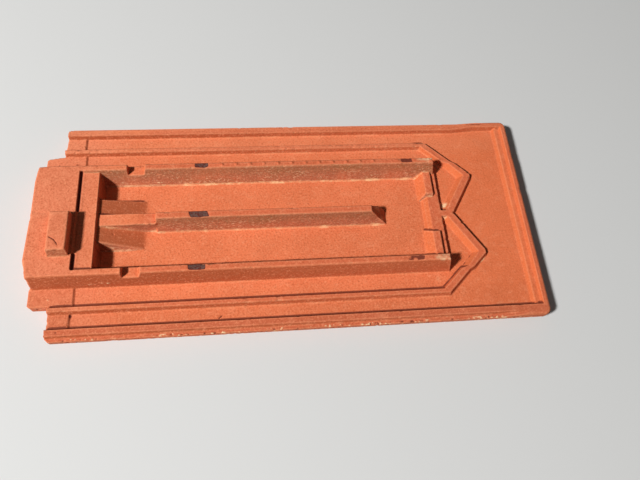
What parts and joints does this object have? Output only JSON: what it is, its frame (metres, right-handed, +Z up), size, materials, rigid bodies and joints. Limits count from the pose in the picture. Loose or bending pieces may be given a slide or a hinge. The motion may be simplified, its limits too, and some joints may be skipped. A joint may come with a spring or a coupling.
{
  "type": "clay roof tile",
  "caption": "Interlocking fired clay roof tile lying ribbed side up, with a hanging nib at the head, long ribs around a sunk tray, a chevron sealing ridge and raised flange lips.",
  "frame": {"origin": "centre of the bounding box at the level of the ground the tile lies on", "axes": "+X along the tile from its head, which has the nib, to its tail; +Y across the tile; +Z up, out of the ribbed underside, as the tile lies on its weather face"},
  "size_m": [0.434, 0.1974, 0.0395],
  "materials": {
    "fired_clay": "matt unglazed fired clay with pale dust on its slopes"
  },
  "bodies": {
    "root": {"roof_tile": "fired_clay"}
  },
  "joints": []
}
